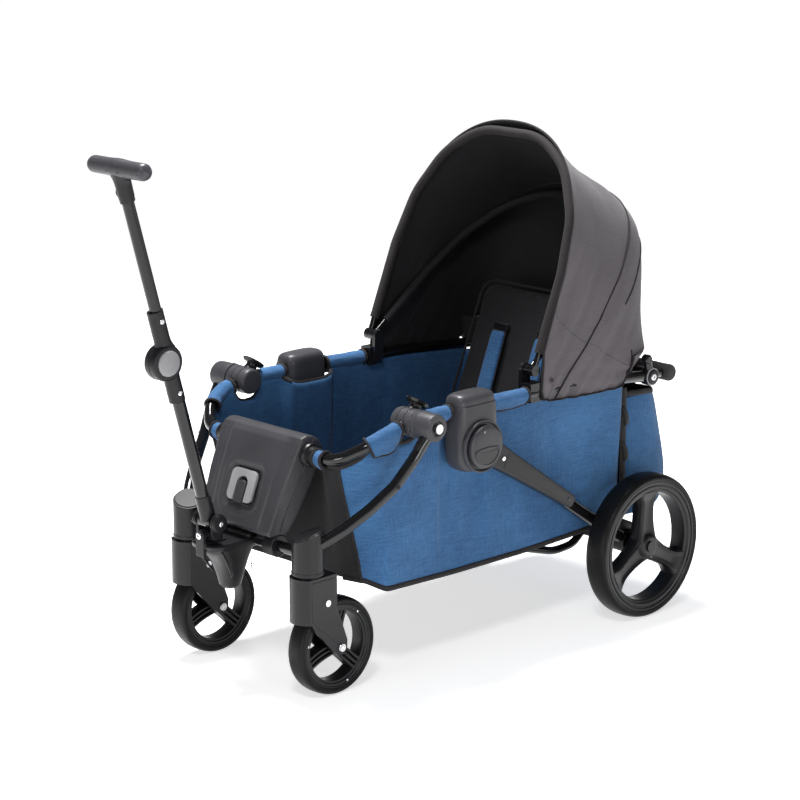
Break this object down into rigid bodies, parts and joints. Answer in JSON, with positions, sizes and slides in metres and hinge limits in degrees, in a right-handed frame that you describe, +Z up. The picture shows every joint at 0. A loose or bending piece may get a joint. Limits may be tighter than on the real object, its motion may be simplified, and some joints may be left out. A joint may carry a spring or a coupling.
{
  "type": "folding pull wagon",
  "caption": "Folding kids' pull wagon with a fabric basket, hooded canopy, padded seat, swivel front casters, large rear wheels and a jointed T-grip pull handle.",
  "frame": {"origin": "on the ground, at the middle of the whole wagon's box", "axes": "+Z up, the pull handle and casters towards -Y, the wagon's left side towards +X"},
  "size_m": [0.61, 1.2465, 1.0026],
  "materials": {
    "black_tube": "gloss",
    "black_plastic": "matt, fine grain",
    "gloss_black_plastic": "gloss",
    "grey_plastic": "matt, fine grain",
    "light_grey_plastic": "satin",
    "steel": "bright",
    "tyre_rubber": "satin",
    "foam": "matt foam",
    "blue_fabric": "heathered weave",
    "black_fabric": "plain weave",
    "dark_grey_fabric": "fine weave"
  },
  "bodies": {
    "frame": {"top_rail": "black_tube", "rail_t_joints": "black_plastic", "pivot_bolts": "steel", "accessory_adaptors": "black_plastic", "hinge_housing_left": "gloss_black_plastic", "hinge_housing_right": "gloss_black_plastic", "front_box_shell": "grey_plastic", "front_box_back": "grey_plastic", "push_hinge_bases": "black_plastic", "canopy_clamps": "black_plastic", "basket": "blue_fabric", "floor_board": "black_fabric", "seat_cushion": "black_fabric", "seat_back": "black_fabric", "harness": "black_fabric", "rear_pocket": "blue_fabric", "rail_sleeves": "blue_fabric", "canopy_fabric": "dark_grey_fabric"},
    "box_button": {"box_button": "light_grey_plastic"},
    "front_frame": {"front_leg_left": "black_tube", "front_leg_right": "black_tube", "leg_hubs": "black_plastic", "caster_housing_left": "black_plastic", "caster_housing_right": "black_plastic", "cross_tube": "black_tube", "handle_bracket": "grey_plastic"},
    "caster_left": {"caster_fork_left": "black_plastic", "caster_hardware_left": "steel"},
    "caster_right": {"caster_fork_right": "black_plastic", "caster_hardware_right": "steel"},
    "front_wheel_left": {"front_tyre_left": "tyre_rubber", "front_rim_left": "black_plastic"},
    "front_wheel_right": {"front_tyre_right": "tyre_rubber", "front_rim_right": "black_plastic"},
    "handle_yoke": {"handle_tilt_block": "black_plastic"},
    "handle_lower": {"handle_lower_tube": "black_tube", "mid_joint_lower": "black_plastic"},
    "handle_upper": {"mid_joint_upper": "black_plastic", "handle_upper_tube": "black_tube", "handle_grip": "black_plastic"},
    "handle_button": {"mid_joint_button": "light_grey_plastic"},
    "rear_frame": {"rear_arms": "black_plastic", "rear_leg_left": "black_tube", "rear_leg_right": "black_tube", "rear_axle_beam": "black_plastic", "rear_axle_rod": "steel", "rear_stay": "black_tube"},
    "lock_knob_left": {"lock_knob_left": "black_plastic"},
    "lock_knob_right": {"lock_knob_right": "black_plastic"},
    "brake_pedal": {"brake_pedal": "black_plastic"},
    "rear_wheel_left": {"rear_tyre_left": "tyre_rubber", "rear_rim_left": "black_plastic"},
    "rear_wheel_right": {"rear_tyre_right": "tyre_rubber", "rear_rim_right": "black_plastic"},
    "push_handle": {"push_handle_bar": "black_tube", "push_handle_foam": "foam"},
    "front_bow": {"canopy_front_bow": "black_tube"},
    "mid_bow": {"canopy_mid_bow": "black_tube"}
  },
  "joints": [
    {"name": "rear_fold", "type": "hinge", "parent": "frame", "child": "rear_frame", "pos_m": [0, 0.018, 0.43], "axis": [1, 0, 0], "range_deg": [0, 28], "deforming": ["basket", "floor_board", "seat_cushion", "seat_back", "harness", "rear_pocket"]},
    {"name": "front_fold", "type": "hinge", "parent": "frame", "child": "front_frame", "pos_m": [0, -0.135, 0.497], "axis": [1, 0, 0], "range_deg": [0, 72]},
    {"name": "caster_left_swivel", "type": "hinge", "parent": "front_frame", "child": "caster_left", "pos_m": [0.165, -0.329, 0.237], "axis": [0, 0, 1], "continuous": true},
    {"name": "caster_right_swivel", "type": "hinge", "parent": "front_frame", "child": "caster_right", "pos_m": [-0.165, -0.329, 0.237], "axis": [0, 0, 1], "continuous": true},
    {"name": "front_wheel_left_spin", "type": "hinge", "parent": "caster_left", "child": "front_wheel_left", "pos_m": [0.165, -0.273, 0.092], "axis": [1, 0, 0], "continuous": true},
    {"name": "front_wheel_right_spin", "type": "hinge", "parent": "caster_right", "child": "front_wheel_right", "pos_m": [-0.165, -0.273, 0.092], "axis": [1, 0, 0], "continuous": true},
    {"name": "rear_wheel_left_spin", "type": "hinge", "parent": "rear_frame", "child": "rear_wheel_left", "pos_m": [0.269, 0.471, 0.145], "axis": [1, 0, 0], "continuous": true},
    {"name": "rear_wheel_right_spin", "type": "hinge", "parent": "rear_frame", "child": "rear_wheel_right", "pos_m": [-0.269, 0.471, 0.145], "axis": [1, 0, 0], "continuous": true},
    {"name": "handle_tilt", "type": "hinge", "parent": "front_frame", "child": "handle_yoke", "pos_m": [0, -0.42, 0.298], "axis": [0, 1, 0], "range_deg": [-20, 20]},
    {"name": "handle_pitch", "type": "hinge", "parent": "handle_yoke", "child": "handle_lower", "pos_m": [0, -0.42, 0.322], "axis": [1, 0, 0], "range_deg": [-12, 62]},
    {"name": "handle_fold", "type": "hinge", "parent": "handle_lower", "child": "handle_upper", "pos_m": [0, -0.51799, 0.63207], "axis": [1, 0, 0], "range_deg": [0, 130]},
    {"name": "handle_button_push", "type": "slide", "parent": "handle_upper", "child": "handle_button", "axis": [-1, 0, 0], "range_m": [0, 0.002], "stiffness_N_per_m": 900},
    {"name": "box_button_push", "type": "slide", "parent": "frame", "child": "box_button", "axis": [0, 0.9212, -0.3891], "range_m": [0, 0.004], "stiffness_N_per_m": 900},
    {"name": "lock_knob_left_turn", "type": "hinge", "parent": "rear_frame", "child": "lock_knob_left", "pos_m": [0.27, 0.018, 0.43], "axis": [1, 0, 0], "range_deg": [0, 90]},
    {"name": "lock_knob_right_turn", "type": "hinge", "parent": "rear_frame", "child": "lock_knob_right", "pos_m": [-0.27, 0.018, 0.43], "axis": [-1, 0, 0], "range_deg": [0, 90]},
    {"name": "brake_pedal_press", "type": "hinge", "parent": "rear_frame", "child": "brake_pedal", "pos_m": [0, 0.501, 0.145], "axis": [-1, 0, 0], "range_deg": [0, 16]},
    {"name": "push_handle_swing", "type": "hinge", "parent": "frame", "child": "push_handle", "pos_m": [0, 0.533, 0.469], "axis": [1, 0, 0], "range_deg": [-60, 60]},
    {"name": "front_bow_fold", "type": "hinge", "parent": "frame", "child": "front_bow", "pos_m": [0, 0.198, 0.536], "axis": [-1, 0, 0], "range_deg": [0, 55], "deforming": ["canopy_fabric"]},
    {"name": "mid_bow_fold", "type": "hinge", "parent": "frame", "child": "mid_bow", "pos_m": [0, 0.198, 0.536], "axis": [-1, 0, 0], "range_deg": [0, 30]}
  ],
  "couplings": [
    {"joint": "front_fold", "follows": "rear_fold", "ratio": 2.5714},
    {"joint": "mid_bow_fold", "follows": "front_bow_fold", "ratio": 0.5}
  ]
}
